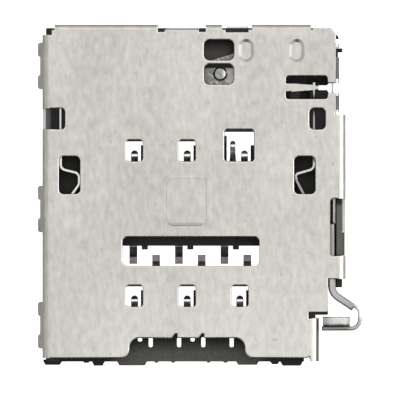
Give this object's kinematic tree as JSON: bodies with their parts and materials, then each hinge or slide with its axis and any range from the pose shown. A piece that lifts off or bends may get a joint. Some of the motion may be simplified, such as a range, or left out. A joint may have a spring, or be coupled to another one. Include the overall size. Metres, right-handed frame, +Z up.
{
  "type": "sim card socket",
  "caption": "Flat board-mounted card tray socket: folded steel cover over a black moulded base with sprung contacts, detent springs and a push-rod and lever ejector.",
  "frame": {"origin": "on the board face, on the middle line of the tray slot, halfway along the body", "axes": "+Z up from the board, +Y from the mouth to the rear, +X to the ejector's side"},
  "size_m": [0.0156, 0.0164, 0.0014],
  "materials": {
    "cover_steel": "rolled, fine grain front to back",
    "housing_plastic": "moulded, matt black",
    "contact_plating": "plated, satin, dull on the solder tails",
    "spring_steel": "bright rolled strip",
    "ejector_steel": "bright, tumbled edges"
  },
  "bodies": {
    "base": {"cover_shell": "cover_steel", "housing": "housing_plastic", "contact_rear_left": "contact_plating", "contact_rear_mid": "contact_plating", "contact_rear_right": "contact_plating", "contact_front_left": "contact_plating", "contact_front_mid": "contact_plating", "contact_front_right": "contact_plating", "detect_contact": "contact_plating", "left_detent_spring": "spring_steel", "right_detent_spring": "spring_steel", "lever_rivet": "ejector_steel"},
    "rod": {"eject_rod": "ejector_steel"},
    "lever": {"eject_lever": "ejector_steel"}
  },
  "joints": [
    {"name": "rod_slide", "type": "slide", "parent": "base", "child": "rod", "axis": [0, 1, 0], "range_m": [-0.0015, 0]},
    {"name": "lever_pivot", "type": "hinge", "parent": "base", "child": "lever", "pos_m": [0.00159, 0.00587, 0.00046], "axis": [0, 0, 1], "range_deg": [-16.6, 0]}
  ],
  "couplings": [
    {"joint": "lever_pivot", "follows": "rod_slide", "rad_per_m": 192.1}
  ]
}
